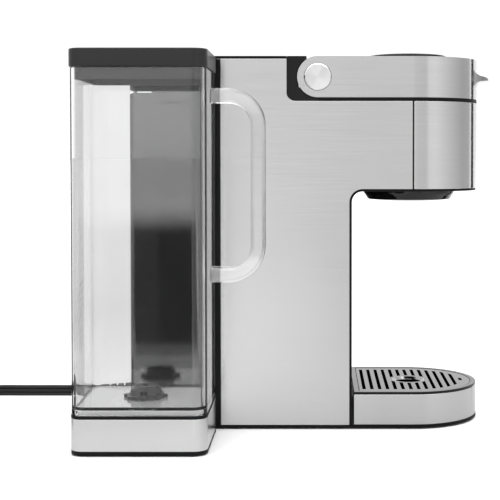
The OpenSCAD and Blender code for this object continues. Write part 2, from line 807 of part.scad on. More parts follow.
module key_at(spot, r) color(charcoal) translate([spot[0], spot[1], key_bottom]) difference() {
    cylinder(r = r, h = panel_top - key_bottom);
    translate([0, 0, panel_top - key_bottom + key_dish_r - key_dish]) sphere(r = key_dish_r);
}

module key_hole(spot, r) translate([spot[0], spot[1], shell_top - 1]) cylinder(r = r + key_play, h = 20);

// Round glossy panel on the lid with holes for the keys
module control_panel() placed() color(gloss_black) difference() {
    translate([0, panel_y, 0]) rotate_extrude() polygon([
        [0, shell_top], [panel_r, shell_top], [panel_r, panel_top - 1.2], [panel_r - 0.4, panel_top - 0.4],
        [panel_r - 1.2, panel_top], [0, panel_top]
    ]);
    key_hole([0, panel_y], brew_key_r);
    key_hole(key_spot(90), small_key_r);
    for (a = size_key_angles) key_hole(key_spot(a), small_key_r);
}

module brew_key() placed() key_at([0, panel_y], brew_key_r);

module power_key() placed() key_at(key_spot(90), small_key_r);

module size_key_1() placed() key_at(key_spot(size_key_angles[0]), small_key_r);

module size_key_2() placed() key_at(key_spot(size_key_angles[1]), small_key_r);

module size_key_3() placed() key_at(key_spot(size_key_angles[2]), small_key_r);

module pivot_caps() placed() color(bright_steel) for (side = [0, 1]) mirror([side, 0, 0])
    translate([-half_w, hinge_y, hinge_z]) rotate([0, -90, 0]) rotate_extrude() polygon([
        [0, 0], [cap_r, 0], [cap_r, 0.3], [cap_r - 0.9, cap_t], [0, cap_t - 0.4]
    ]);

// Underside of the lid, with the boss that reaches into the pod holder
boss_r = 21;
boss_z = 274;
boss_h = 16;
plate_t = 2;
plate_rear = 58;
needle_r = 1.2;
needle_tip = 2;
needle_ring_r = 5;
needle_angles = [0 : 72 : 288];
module needle_plate() placed() color(black) difference() {
    union() {
        translate([0, 0, lid_bottom + 0.4]) linear_extrude(plate_t)
            d_plan(shell_half - shell_t - fit_gap, plate_rear);
        translate([0, 0, boss_z]) cylinder(r = boss_r, h = boss_h);
    }
    translate([0, 0, boss_z + plate_t]) cylinder(r = boss_r - plate_t, h = 20);
    for (a = needle_angles) rotate(a) translate([needle_ring_r, 0, boss_z - 1])
        cylinder(r = needle_r, h = 5);
}

module entry_needles() placed() color(bright_steel) for (a = needle_angles) rotate(a)
    translate([needle_ring_r, 0, boss_z - 8]) {
        cylinder(r = needle_r, h = 14);
        translate([0, 0, -needle_tip]) cylinder(r1 = 0.3, r2 = needle_r, h = needle_tip);
    }

seal_r = 12;
seal_hole_r = 8.5;
seal_t = 1.6;
module lid_seal() placed() color(seal_grey) translate([0, 0, boss_z - seal_t]) difference() {
    cylinder(r = seal_r, h = seal_t);
    translate([0, 0, -1]) cylinder(r = seal_hole_r, h = 4);
}

// ---------- reservoir ----------

module tank_block(inset, z0, z1) {
    block(tank_mid, tank_w - 2 * inset, tank_d - 2 * inset, dock_corner_r - inset, z0, z1);
}

module reservoir_tank() placed() color(clear) difference() {
    tank_block(0, tank_bottom, tank_top);
    tank_block(tank_t, floor_top, far);
    tank_block(tank_t + recess_inset, 0, floor_z);
    translate([valve_at[0], valve_at[1], 0]) cylinder(r = valve_hole_r, h = floor_top + 1);
}

module bar_section() rounded_rect(handle_t, handle_w, handle_edge_r);

module handle_bend(y, z, turn) translate([y, z, 0]) rotate(turn) rotate_extrude(angle = 90)
    translate([handle_bend_r, 0]) bar_section();

// C-shaped clear handle on the tank's front face, drawn in the (Y, Z) plane
module reservoir_handle() placed() color(clear) translate([handle_x, 0, 0]) rotate([90, 0, 90]) {
    bend_y = handle_front + handle_bend_r;
    arm = tank_front - bend_y;
    for (z = [handle_low, handle_top]) translate([bend_y, z, 0]) rotate([90, 0, 90])
        linear_extrude(arm) bar_section();
    translate([handle_front, handle_low + handle_bend_r, 0]) rotate([-90, 0, 0])
        linear_extrude(handle_top - handle_low - 2 * handle_bend_r) bar_section();
    handle_bend(bend_y, handle_top - handle_bend_r, 90);
    handle_bend(bend_y, handle_low + handle_bend_r, 180);
}

// Fill line and its pointer, raised on the tank's outer face
fill_y = 208;
fill_z = 279.6;
fill_line_w = 11;
fill_line_t = 0.9;
module fill_mark() placed() color(print_grey) along_x(dock_left + tank_inset - 0.3, dock_left + tank_inset) {
    translate([fill_y, fill_z]) square([fill_line_w, fill_line_t]);
    translate([fill_y + fill_line_w + 2, fill_z]) polygon([[0, fill_line_t / 2], [3.4, 2], [3.4, -1.1]]);
}

// Scalloped valve housing on the tank's floor
lobes = 8;
lobe_r = 3;
cage_flange = [15, 2.4];                    // radius and thickness
cage_r0 = 13.5;                             // radii at the foot, shoulder and top
cage_r1 = 12;
cage_r2 = 9;
cage_h = 7;
cage_bottom = 32;
cage_bore_r = 8.4;
module valve_cage() placed() color(charcoal) translate([valve_at[0], valve_at[1], 0]) difference() {
    union() {
        translate([0, 0, floor_top]) {
            cylinder(r = cage_flange[0], h = cage_flange[1]);
            for (i = [0 : lobes - 1]) rotate(i * 360 / lobes) translate([cage_flange[0] - 0.4, 0, 0])
                cylinder(r = lobe_r, h = cage_flange[1]);
            cylinder(r1 = cage_r0, r2 = cage_r1, h = cage_h);
            translate([0, 0, cage_h]) cylinder(r1 = cage_r1, r2 = cage_r2, h = 2.5);
        }
        translate([0, 0, cage_bottom])
            cylinder(r = valve_hole_r - fit_gap, h = floor_top - cage_bottom + eps);
    }
    translate([0, 0, cage_bottom + 1.6]) cylinder(r = cage_bore_r, h = 11.4);
    translate([0, 0, cage_bottom - 1]) cylinder(r = 5, h = 4);
    // stem guide and the side windows the water comes through
    translate([0, 0, 40]) cylinder(r = stem_r + 0.4, h = 10);
    for (a = [0 : 90 : 270]) rotate(a) translate([6, -3, 40.4]) cube([10, 6, 3.2]);
}

spring_turns = 4;
spring_steps = 14;
spring_r = 5.6;
wire_r = 0.5;
spring_z0 = 36.2;
spring_z1 = 44.4;
spring_path = [for (i = [0 : spring_turns * spring_steps])
    [spring_r * cos(360 * i / spring_steps), spring_r * sin(360 * i / spring_steps),
     spring_z0 + (spring_z1 - spring_z0) * i / (spring_turns * spring_steps)]];

module valve_spring() placed() color(bright_steel)
    translate([valve_at[0], valve_at[1], 0]) swept_tube(spring_path, wire_r, 6);

stem_r = 2;
nose_r = 3.5;
disc_r = 7.4;
module valve_poppet() placed() color(charcoal) translate([valve_at[0], valve_at[1], 0]) {
    translate([0, 0, 32.5]) cylinder(r = nose_r, h = 2);
    translate([0, 0, 33.9]) cylinder(r = disc_r, h = 1.7);
    translate([0, 0, 35]) cylinder(r = stem_r, h = 8.6);
}

// Pale silicone pad under the tank's floor, round the valve
module tank_gasket() placed() color(pale_seal) difference() {
    tank_block(tank_t + recess_inset + 0.3, tank_bottom + move_gap, floor_z - 0.05);
    translate([valve_at[0], valve_at[1], 0]) cylinder(r = valve_hole_r + 0.4, h = floor_z);
}

// Charcoal lid with a skirt that reaches inside the tank
module reservoir_lid() placed() color(charcoal) difference() {
    union() {
        tank_block(-lid_overhang, lid_cap_bottom, lid_cap_top);
        tank_block(tank_t + skirt_play, skirt_bottom, lid_cap_bottom + eps);
    }
    tank_block(tank_t + skirt_play + skirt_t, 0, lid_cap_top - lid_cap_t);
}

// ---------- drip tray ----------

module tray_band() placed() color(steel) translate([0, 0, base_top + tray_gap])
    linear_extrude(tray_h - rim_t - base_top - tray_gap) difference() {
        d_plan(tray_half, tray_rear);
        d_plan(tray_half - steel_t, far);
    }

module drip_pan() placed() color(black) difference() {
    union() {
        translate([0, 0, base_top + tray_gap]) linear_extrude(tray_h - base_top - tray_gap)
            d_plan(tray_half - steel_t - fit_gap, tray_rear);
        translate([0, 0, tray_h - rim_t]) linear_extrude(rim_t) d_plan(tray_half, tray_rear);
    }
    translate([0, 0, base_top + tray_gap + pan_t]) linear_extrude(far)
        d_plan(grate_half - pan_ledge, tray_rear - rim_w - 2.9);
    translate([0, 0, grate_top - grate_t - move_gap]) linear_extrude(far)
        d_plan(grate_half + 0.4, tray_rear - rim_w);
}

// One slot across the grate, counted from the rear
module slot(i, reach) translate([-reach, slot_first_y - i * slot_pitch - slot_w / 2])
    square([2 * reach, slot_w]);

// Slotted plate; the slots stop short of a circle near its edge and of the drip ring
module drip_grate() placed() color(gloss_black) difference() {
    translate([0, 0, grate_top - grate_t]) linear_extrude(grate_t) d_plan(grate_half, tray_rear - 5);
    translate([0, 0, grate_top - grate_t - 1]) linear_extrude(grate_t + 2) slot(slot_count, short_slot_reach);
    translate([0, 0, grate_top - grate_t - 1]) linear_extrude(grate_t + 2) difference() {
        for (i = [0 : slot_count - 1]) slot(i, slot_reach);
        difference() {
            translate([-far, -far]) square([2 * far, far]);
            circle(slot_reach + 0.6);
        }
        circle(slot_ring_r);
    }
    translate([0, 0, grate_top - grate_t - 1]) cylinder(r = ring_r + fit_gap, h = grate_t + 2);
}

// Dished ring around the drip hole, flush with the grate and held by a lip under it
module grate_ring() placed() color(bright_steel) translate([0, 0, grate_top]) rotate_extrude() polygon([
    [drip_hole_r, -grate_t - eps - ring_lip_t], [ring_r + ring_lip, -grate_t - eps - ring_lip_t],
    [ring_r + ring_lip, -grate_t - eps], [ring_r, -grate_t - eps], [ring_r, 0], [ring_r - 0.8, 0],
    [drip_hole_r, -2.1]
]);

base_plate();
rubber_feet();
base_screws();
chassis();
left_side_panel();
right_side_panel();
front_fascia();
bay_liner();
outlet_shroud();
rear_housing();
top_cover();
head_deck();
hinge_housing();
hinge_shaft();
pod_socket();
pod_holder();
exit_needle();
heater_tank();
heater_cap();
water_pump();
main_board();
supply_hose();
feed_hose();
brew_hose();
dock_foot();
dock_band();
dock_deck();
dock_arm();
dock_port();
strain_relief();
power_cord();
cord_coil();
cord_tie();
power_plug();
plug_blades();
lid_band();
lift_tab();
lid_shell();
control_panel();
pivot_caps();
needle_plate();
entry_needles();
lid_seal();
brew_key();
power_key();
size_key_1();
size_key_2();
size_key_3();
reservoir_tank();
reservoir_handle();
fill_mark();
valve_cage();
valve_spring();
valve_poppet();
tank_gasket();
reservoir_lid();
drip_pan();
tray_band();
drip_grate();
grate_ring();
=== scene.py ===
import json
import math

import bmesh
import bpy
from mathutils import Matrix, Vector


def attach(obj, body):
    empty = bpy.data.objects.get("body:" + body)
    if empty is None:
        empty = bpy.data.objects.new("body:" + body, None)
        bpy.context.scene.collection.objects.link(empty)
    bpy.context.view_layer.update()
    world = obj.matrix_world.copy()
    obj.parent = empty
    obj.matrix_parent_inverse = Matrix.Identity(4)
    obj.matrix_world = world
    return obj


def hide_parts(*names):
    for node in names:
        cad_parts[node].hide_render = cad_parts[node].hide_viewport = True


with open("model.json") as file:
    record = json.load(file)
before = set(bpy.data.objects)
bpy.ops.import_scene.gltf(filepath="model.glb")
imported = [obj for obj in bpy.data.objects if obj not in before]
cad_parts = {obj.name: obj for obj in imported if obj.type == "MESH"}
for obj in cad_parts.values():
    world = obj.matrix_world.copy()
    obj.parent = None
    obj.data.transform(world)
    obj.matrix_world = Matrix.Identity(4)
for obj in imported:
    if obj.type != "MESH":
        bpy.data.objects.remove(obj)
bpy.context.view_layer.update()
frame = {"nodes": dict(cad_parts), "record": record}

NODES = frame["nodes"]
MM = 0.001

# part.scad draws everything about the spout axis and then shifts it by this, in mm
SHIFT = Vector((46, -101.3, 0))


def at(x, y, z):
    """A point about the spout axis, in mm, as a point of the row frame, in metres."""
    return (Vector((x, y, z)) + SHIFT) * MM


# ---------- camera ----------

def look_along(direction, up=Vector((0, 0, 1))):
    back = -direction.normalized()
    right = up.cross(back).normalized()
    return Matrix((right, back.cross(right), back)).transposed().to_4x4()


CAMERA_AT = at(-1047.8, 80.96, 230.8)
PITCH = 0.027  # radians downwards
cam = bpy.data.cameras.new("camera")
cam.sensor_width = 36
cam.lens = 84.36
cam.shift_x = -0.1362
cam.shift_y = -0.1232
cam.clip_start = 0.05
cam.clip_end = 50
camera = bpy.data.objects.new("camera", cam)
bpy.context.scene.collection.objects.link(camera)
camera.matrix_world = Matrix.Translation(CAMERA_AT) @ look_along(
    Vector((math.cos(PITCH), 0, -math.sin(PITCH))))
bpy.context.scene.camera = camera


# ---------- mesh helpers ----------

def piece(name, verts, faces, smooth=True):
    mesh = bpy.data.meshes.new(name)
    mesh.from_pydata([tuple(v) for v in verts], [], faces)
    bm = bmesh.new()
    bm.from_mesh(mesh)
    bmesh.ops.recalc_face_normals(bm, faces=bm.faces)
    bm.to_mesh(mesh)
    bm.free()
    for p in mesh.polygons:
        p.use_smooth = smooth
    o = bpy.data.objects.new(name, mesh)
    bpy.context.scene.collection.objects.link(o)
    return o


def sweep(name, path, profile):
    """A closed tube of the profile (across, up) swept along a path that never runs upright."""
    n, k = len(path), len(profile)
    verts, faces = [], []
    for i, p in enumerate(path):
        along = (path[min(i + 1, n - 1)] - path[max(i - 1, 0)]).normalized()
        across = along.cross(Vector((0, 0, 1))).normalized()
        up = across.cross(along)
        verts += [p + across * a + up * b for a, b in profile]
    for i in range(n - 1):
        for j in range(k):
            m = (j + 1) % k
            faces.append((i * k + j, i * k + m, (i + 1) * k + m, (i + 1) * k + j))
    faces += [tuple(range(k)), tuple(range((n - 1) * k, n * k))]
    return piece(name, verts, faces)


def smoothed(points, steps):
    """A smooth curve through the points (Catmull-Rom)."""
    out = []
    for i in range(len(points) - 1):
        a, b, c, d = (points[min(max(j, 0), len(points) - 1)] for j in (i - 1, i, i + 1, i + 2))
        for s in range(steps):
            t = s / steps
            out.append(0.5 * ((2 * b) + (c - a) * t + (2 * a - 5 * b + 4 * c - d) * t * t
                              + (3 * b - a - 3 * c + d) * t ** 3))
    return out + [points[-1]]


def ease(a, b, x):
    t = min(max((x - a) / (b - a), 0), 1)
    return t * t * (3 - 2 * t)


# ---------- power cord: first, because its room depends on the camera ----------

# the route's points, as in part.scad
CORD_ROUTE = [(0, 276, 21), (0, 290, 21), (0, 308, 21), (0, 326, 21), (0, 346, 21), (0, 366, 21),
              (0, 376, 20), (0, 384, 17.5), (0, 392, 13.3), (0, 400, 9.1), (0, 408, 6.6),
              (0, 418, 5.6), (0, 425, 5.6)]
CORD_W, CORD_T = 9.5, 4.6
COIL_AT, COIL_R = (-55, 425), 55
LAYER = (5.6, 15.2)  # heights of the coil's two turns
CLIMB = (255, 345)  # degrees of winding between which the lead climbs over its first turn
TURN_STEP, TURN_END = 5, 700
TAIL_BEARING = 20  # degrees from +Y
TAIL = ((5, -0.1), (10, 0), (14, 0.4), (18, 1.4), (21.5, 2.2))  # (onward, down), into the plug

path = smoothed([at(*p) for p in CORD_ROUTE], 4)
for degrees in range(TURN_STEP, TURN_END + 1, TURN_STEP):
    z = LAYER[0] + (LAYER[1] - LAYER[0]) * ease(*CLIMB, degrees)
    a = math.radians(degrees)
    path.append(at(COIL_AT[0] + COIL_R * math.cos(a), COIL_AT[1] + COIL_R * math.sin(a), z))
onward = Vector((math.sin(math.radians(TAIL_BEARING)), math.cos(math.radians(TAIL_BEARING)), 0))
end = path[-1]
for step, drop in TAIL:
    path.append(end + onward * step * MM - Vector((0, 0, drop * MM)))


def flat_lead(width, thick, lobes=3, per_lobe=7):
    """Outline of a flat lead: equal cores side by side with grooves between them."""
    r = width / lobes / 2
    web = thick / 2 - r
    side = []
    for i in range(lobes):
        for j in range(per_lobe):
            a = math.pi * (j + 0.5) / per_lobe
            mid = -width / 2 + r * (2 * i + 1)
            side.append((web + r * math.sin(a), mid - r * math.cos(a)))
    return [(a * MM, b * MM) for a, b in side] + [(-a * MM, b * MM) for a, b in reversed(side)]


cord = sweep("mains_lead", path, flat_lead(CORD_W, CORD_T))
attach(cord, "brewer")
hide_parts("power_cord", "cord_coil")


def loop_band(name, middle, half_x, half_z, depth, thick, r, steps=6):
    """A flat band wound once round something, about an axis along Y."""
    rings = []
    for off in (0, thick):
        ring = []
        for sx, sz, a0 in ((1, 1, 0), (-1, 1, 90), (-1, -1, 180), (1, -1, 270)):
            for s in range(steps + 1):
                a = math.radians(a0 + 90 * s / steps)
                ring.append((sx * (half_x - r) + (r + off) * math.cos(a),
                             sz * (half_z - r) + (r + off) * math.sin(a)))
        rings.append(ring)
    n = len(rings[0])
    verts = [middle + Vector((x, y, z)) * MM
             for y in (-depth / 2, depth / 2) for ring in rings for x, z in ring]
    faces = []
    for i in range(n):
        j = (i + 1) % n
        faces += [(i, j, n + j, n + i), (2 * n + i, 3 * n + i, 3 * n + j, 2 * n + j),
                  (n + i, n + j, 3 * n + j, 3 * n + i), (i, 2 * n + i, 2 * n + j, j)]
    return piece(name, verts, faces)


tie = loop_band("lead_tie", at(COIL_AT[0] - COIL_R, COIL_AT[1], 10.4),
                half_x=2.7, half_z=9.6, depth=11, thick=0.7, r=2)
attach(tie, "brewer")
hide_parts("cord_tie")


# ---------- materials ----------

class Nodes:
    """Small helper to write node trees."""

    def __init__(self, name):
        self.mat = bpy.data.materials.new(name)
        self.mat.use_nodes = True
        self.tree = self.mat.node_tree
        self.tree.nodes.clear()
        self.out = self.add("ShaderNodeOutputMaterial")
        self.bsdf = self.add("ShaderNodeBsdfPrincipled")
        self.link(self.bsdf.outputs[0], self.out.inputs["Surface"])
        self.coord = self.add("ShaderNodeTexCoord").outputs["Object"]

    def add(self, kind, **settings):
        node = self.tree.nodes.new(kind)
        for k, v in settings.items():
            setattr(node, k, v)
        return node

    def link(self, a, b):
        self.tree.links.new(a, b)

    def noise(self, scale, detail=3.0, rough=0.5, stretch=(1, 1, 1)):
        m = self.add("ShaderNodeMapping")
        m.inputs["Scale"].default_value = stretch
        self.link(self.coord, m.inputs["Vector"])
        n = self.add("ShaderNodeTexNoise")
        n.inputs["Scale"].default_value = scale
        n.inputs["Detail"].default_value = detail
        n.inputs["Roughness"].default_value = rough
        self.link(m.outputs[0], n.inputs["Vector"])
        return n.outputs[0]

    def spread(self, value, low, high, start=0.3, stop=0.7):
        r = self.add("ShaderNodeMapRange")
        for k, v in (("From Min", start), ("From Max", stop), ("To Min", low), ("To Max", high)):
            r.inputs[k].default_value = v
        self.link(value, r.inputs["Value"])
        return r.outputs[0]

    def blend(self, value, a, b):
        m = self.add("ShaderNodeMix", data_type="RGBA")
        self.link(value, m.inputs["Factor"])
        m.inputs["A"].default_value = (*a, 1)
        m.inputs["B"].default_value = (*b, 1)
        return m.outputs["Result"]

    def bump(self, value, height, strength=1.0):
        b = self.add("ShaderNodeBump")
        b.inputs["Distance"].default_value = height
        b.inputs["Strength"].default_value = strength
        self.link(value, b.inputs["Height"])
        self.link(b.outputs[0], self.bsdf.inputs["Normal"])

    def set(self, **sockets):
        for k, v in sockets.items():
            self.bsdf.inputs[k.replace("_", " ")].default_value = v


GRAIN_ACROSS = (0, -0.03, 1)  # the grain runs level, the least bit out of true


def steel(name, tint, rough, stretch, aniso=0.9, contrast=0.04, turned=False):
    """Brushed metal with level grain, or turned about X; reflections spread across the grain."""
    n = Nodes(name)
    grain = n.noise(1.0, 6, 0.75, stretch)
    broad = n.noise(9.0, 2, 0.5)
    shade = n.add("ShaderNodeMath", operation="MULTIPLY_ADD")
    n.link(grain, shade.inputs[0])
    shade.inputs[1].default_value = 0.75
    n.link(n.spread(broad, 0.0, 0.25), shade.inputs[2])
    dark, light = tuple(c * (1 - contrast) for c in tint), tuple(min(c * (1 + contrast), 1) for c in tint)
    n.link(n.blend(n.spread(shade.outputs[0], 0, 1, 0.3, 0.72), dark, light), n.bsdf.inputs["Base Color"])
    n.link(n.spread(grain, rough - 0.04, rough + 0.04), n.bsdf.inputs["Roughness"])
    n.set(Metallic=1.0, Anisotropic=aniso)
    if turned:
        n.set(Anisotropic_Rotation=0.25)
        across = n.add("ShaderNodeTangent", direction_type="RADIAL", axis="X")
    else:
        across = n.add("ShaderNodeVectorTransform", vector_type="VECTOR",
                       convert_from="OBJECT", convert_to="WORLD")
        across.inputs[0].default_value = GRAIN_ACROSS
    n.link(across.outputs[0], n.bsdf.inputs["Tangent"])
    n.bump(grain, 0.00002, 0.25)
    return n.mat


def plastic(name, dark, light, rough, spec=0.5, texture=0.0, grain=1400, ior=1.5):
    """Moulded plastic: slight colour and gloss variation, and a fine skin texture."""
    n = Nodes(name)
    fine = n.noise(grain, 2, 0.6)
    broad = n.noise(14, 3, 0.5)
    n.link(n.blend(n.spread(broad, 0, 1), dark, light), n.bsdf.inputs["Base Color"])
    n.link(n.spread(broad, rough * 0.85, rough * 1.15), n.bsdf.inputs["Roughness"])
    n.set(Specular_IOR_Level=spec, IOR=ior)
    n.bump(fine, texture * MM, 0.5)
    return n.mat


def light_painted_below(name, dark, light, low, high, rough, spec):
    """Moulded plastic with painted light: lighter below one height than above another (metres)."""
    n = Nodes(name)
    apart = n.add("ShaderNodeSeparateXYZ")
    n.link(n.coord, apart.inputs[0])
    n.link(n.blend(n.spread(apart.outputs[2], 0, 1, low, high), light, dark), n.bsdf.inputs["Base Color"])
    n.link(n.spread(n.noise(14, 3, 0.5), rough * 0.85, rough * 1.15), n.bsdf.inputs["Roughness"])
    n.set(Specular_IOR_Level=spec)
    n.bump(n.noise(1400, 2, 0.6), 0.02 * MM, 0.5)
    return n.mat


def clear_plastic(name, tint, rough, ior, ripple=0.15, painted_light_milk=None):
    """Clear moulding. painted_light_milk: painted light, how far its foot and top turn milk-white for the
    light their curves catch, and the heights (metres) between which the foot turns clear and the clear part
    turns milk-white again."""
    n = Nodes(name)
    wave = n.noise(22, 2, 0.5)
    n.link(n.blend(n.spread(wave, 0, 1), tuple(c * 0.985 for c in tint), tint), n.bsdf.inputs["Base Color"])
    n.link(n.spread(n.noise(60, 2, 0.5), rough, rough + 0.02), n.bsdf.inputs["Roughness"])
    n.set(Transmission_Weight=1.0, IOR=ior)
    if painted_light_milk:
        light_milk, (low, low_end), (high, high_end) = painted_light_milk
        apart = n.add("ShaderNodeSeparateXYZ")
        n.link(n.coord, apart.inputs[0])
        clear = n.add("ShaderNodeMath", operation="MINIMUM")
        n.link(n.spread(apart.outputs[2], 1 - light_milk, 1, low, low_end), clear.inputs[0])
        n.link(n.spread(apart.outputs[2], 1, 1 - light_milk, high, high_end), clear.inputs[1])
        n.link(clear.outputs[0], n.bsdf.inputs["Transmission Weight"])
    n.bump(wave, 0.0002, ripple)
    return n.mat


STEEL = steel("brushed_steel_skin", (0.63, 0.63, 0.63), 0.2, (14, 14, 1500), 0.95)
# the lift tab: the panels' brushed steel made darker, painted shade
TAB_STEEL_SHADED = steel("tab_steel_shaded", (0.4, 0.4, 0.4), 0.2, (14, 14, 1500), 0.95)
CAP = steel("turned_metal", (0.9, 0.9, 0.9), 0.2, (600, 900, 900), turned=True)
BRIGHT = steel("bright_ring", (0.3, 0.3, 0.3), 0.12, (200, 200, 200), 0.2)
BLACK = plastic("satin_black", (0.003, 0.003, 0.0035), (0.006, 0.006, 0.007), 0.42, 0.12, 0.02)
GLOSS = plastic("gloss_black", (0.003, 0.003, 0.0035), (0.005, 0.005, 0.006), 0.1, 0.5, 0.003, 300)
GRATE = plastic("grate_black", (0.003, 0.003, 0.0035), (0.005, 0.005, 0.006), 0.1, 0.36, 0.003, 300)
RIM = plastic("tray_black", (0.003, 0.003, 0.0035), (0.005, 0.005, 0.006), 0.14, 0.22, 0.01, 600)
# the hinge housing: the satin black made lighter, painted light for the light in the gap under the lid
HINGE_BLACK_LIT = plastic("recess_black_lit", (0.009, 0.009, 0.0095), (0.014, 0.014, 0.0145), 0.42, 0.12, 0.02)
HOUSING = plastic("housing_black", (0.003, 0.003, 0.0035), (0.005, 0.005, 0.006), 0.06, 1.0, 0.002, 200,
                  ior=1.9)
CHARCOAL = plastic("charcoal", (0.014, 0.0135, 0.014), (0.024, 0.023, 0.024), 0.34, 0.4, 0.02)
# the reservoir lid's skirt is painted lighter than its top: painted light for how the skirt shows through
# the tank
LID_LIGHT_PAINTED = light_painted_below("reservoir_lid", (0.013, 0.0125, 0.013), (0.036, 0.0355, 0.036), 0.2995, 0.3, 0.34, 0.4)
GREY_FRAME = plastic("frame_plastic", (0.006, 0.006, 0.007), (0.01, 0.01, 0.011), 0.5, 0.2, 0.03)
RUBBER = plastic("rubber", (0.006, 0.006, 0.006), (0.013, 0.013, 0.013), 0.5, 0.35, 0.05, 900)
SEAL = plastic("seal_grey", (0.13, 0.135, 0.14), (0.17, 0.175, 0.18), 0.5, 0.4, 0.03)
# the seal is real; its pale grey is painted light for the light carried through the tank's floor round it
PALE_SEAL_PAINTED_LIGHT = plastic("pale_seal", (0.48, 0.485, 0.485), (0.56, 0.565, 0.565), 0.5, 0.4, 0.03)
HOSE = plastic("hose_silicone", (0.55, 0.54, 0.5), (0.66, 0.65, 0.6), 0.4, 0.5, 0.03)
PRINT = plastic("print_grey", (0.62, 0.63, 0.63), (0.72, 0.73, 0.73), 0.5, 0.3, 0.01)
BOARD = plastic("board", (0.01, 0.06, 0.025), (0.015, 0.09, 0.04), 0.4, 0.5, 0.03)
METAL = steel("plain_steel", (0.62, 0.62, 0.62), 0.25, (60, 60, 300), 0.2)
PLUG_METAL = steel("plug_metal", (0.66, 0.62, 0.5), 0.28, (300, 60, 60), 0.2)
CLEAR = clear_plastic("clear_plastic", (0.87, 0.87, 0.87), 0.0, 1.45)
# the handle's foot and top turned a little milk-white: painted light for the light caught in their rounded
# curves
HANDLE = clear_plastic("handle_clear", (0.97, 0.97, 0.97), 0.0, 1.52, 1.0,
                       (0.11, (0.147, 0.153), (0.262, 0.276)))

LOOKS = {
    "brushed_steel_skin": STEEL, "turned_metal": CAP, "bright_ring": BRIGHT, "satin_black": BLACK,
    "gloss_black": GLOSS, "charcoal": CHARCOAL, "frame_plastic": GREY_FRAME, "clear_plastic": CLEAR,
    "print_grey": PRINT, "rubber": RUBBER, "seal_grey": SEAL, "pale_seal": PALE_SEAL_PAINTED_LIGHT,
    "hose_silicone": HOSE, "plain_steel": METAL, "plug_metal": PLUG_METAL, "board": BOARD,
}


def finish_with(obj, material):
    obj.data.materials.clear()
    obj.data.materials.append(material)


for row in frame["record"]["subparts"]:
    finish_with(NODES[row["node"]], LOOKS[row["material_slot"]])
for node, look in (("rear_housing", HOUSING), ("reservoir_handle", HANDLE), ("drip_pan", RIM),
                   ("drip_grate", GRATE), ("hinge_housing", HINGE_BLACK_LIT), ("lift_tab", TAB_STEEL_SHADED),
                   ("reservoir_lid", LID_LIGHT_PAINTED)):
    finish_with(NODES[node], look)
for clear_part in ("reservoir_tank", "reservoir_handle"):
    NODES[clear_part].visible_shadow = NODES[clear_part].visible_diffuse = False
NODES["reservoir_handle"].visible_glossy = False
finish_with(cord, RUBBER)
finish_with(tie, CHARCOAL)


# ---------- matt edge strips between the side panels and the rear housing ----------

def slab(name, low, high):
    (x0, y0, z0), (x1, y1, z1) = at(*low), at(*high)
    verts = [(x, y, z) for x in (x0, x1) for y in (y0, y1) for z in (z0, z1)]
    return piece(name, verts, [(0, 1, 3, 2), (4, 6, 7, 5), (0, 4, 5, 1), (2, 3, 7, 6), (0, 2, 6, 4),
                               (1, 5, 7, 3)], False)


SIDES = (("left", -60), ("right", 60))  # the tower's outer faces
STRIP_T = 0.12  # half its thickness
for side, x in SIDES:
    strip = slab(side + "_edge_strip", (x - STRIP_T, 163.55, 3.4), (x + STRIP_T, 168.3, 312.6))
    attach(strip, "brewer")
    finish_with(strip, BLACK)


# ---------- hinge: a black strip in the gap that keeps light out of it, painted shade for the gap, and a black ring round each cap, painted shade for the gap there ---

def arc_strip(name, middle, r, thick, start, stop, x0, x1, steps=24):
    """A strip along an arc about an axis along X, from one angle to another (degrees from +Y)."""
    closed = stop - start == 360
    count = steps if closed else steps + 1
    verts = []
    for i in range(count):
        a = math.radians(start + (stop - start) * i / steps)
        for radius in (r, r + thick):
            for x in (x0, x1):
                verts.append(middle + Vector((x, radius * math.cos(a), radius * math.sin(a))) * MM)
    faces = [] if closed else [(0, 1, 3, 2), tuple(4 * steps + k for k in (0, 2, 3, 1))]
    for i in range(steps):
        j = (i + 1) % count
        for a, b in ((0, 1), (1, 3), (3, 2), (2, 0)):
            faces.append((4 * i + a, 4 * j + a, 4 * j + b, 4 * i + b))
    return piece(name, verts, faces)


HINGE = at(0, 81.3, 298.2)
CAP_R, SHADE_RING_W, SHADE_RING_T = 11.4, 0.3, 0.08
# a black strip inside the hinge gap: painted shade, standing in for the shade in the gap
shade_strip = arc_strip("hinge_gap_shade", HINGE, r=17.55, thick=0.6, start=-88, stop=35, x0=-28, x1=28)
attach(shade_strip, "brewer")
finish_with(shade_strip, BLACK)

# a thin black ring just proud of the lid band round each cap: painted shade for the gap round it
for side, x in SIDES:
    gap = arc_strip(side + "_cap_gap_shade", HINGE, CAP_R, SHADE_RING_W, 0, 360, x - SHADE_RING_T, x + SHADE_RING_T, steps=72)
    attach(gap, "lid")
    finish_with(gap, BLACK)


# ---------- CAD nodes: softened edges ----------

WELD_AT = 1e-6  # metres
FLAT_WITHIN, SHARP_FROM = 0.4, 35  # degrees between faces


def soften(name, width, segments):
    """Rounds a CAD node's sharp edges with modifiers; its own mesh stays as it is."""
    o = NODES[name]
    mesh = o.data
    if "custom_normal" in mesh.attributes:
        mesh.attributes.remove(mesh.attributes["custom_normal"])
    for p in mesh.polygons:
        p.use_smooth = True
    for e in mesh.edges:
        e.use_edge_sharp = False
    weld = o.modifiers.new("weld", "WELD")
    weld.merge_threshold = WELD_AT
    flat = o.modifiers.new("flat", "DECIMATE")
    flat.decimate_type = "DISSOLVE"
    flat.angle_limit = math.radians(FLAT_WITHIN)
    bevel = o.modifiers.new("bevel", "BEVEL")
    bevel.width = width * MM
    bevel.segments = segments
    bevel.limit_method = "ANGLE"
    bevel.angle_limit = math.radians(SHARP_FROM)
    bevel.use_clamp_overlap = True
    normals = o.modifiers.new("normals", "WEIGHTED_NORMAL")
    normals.keep_sharp = True


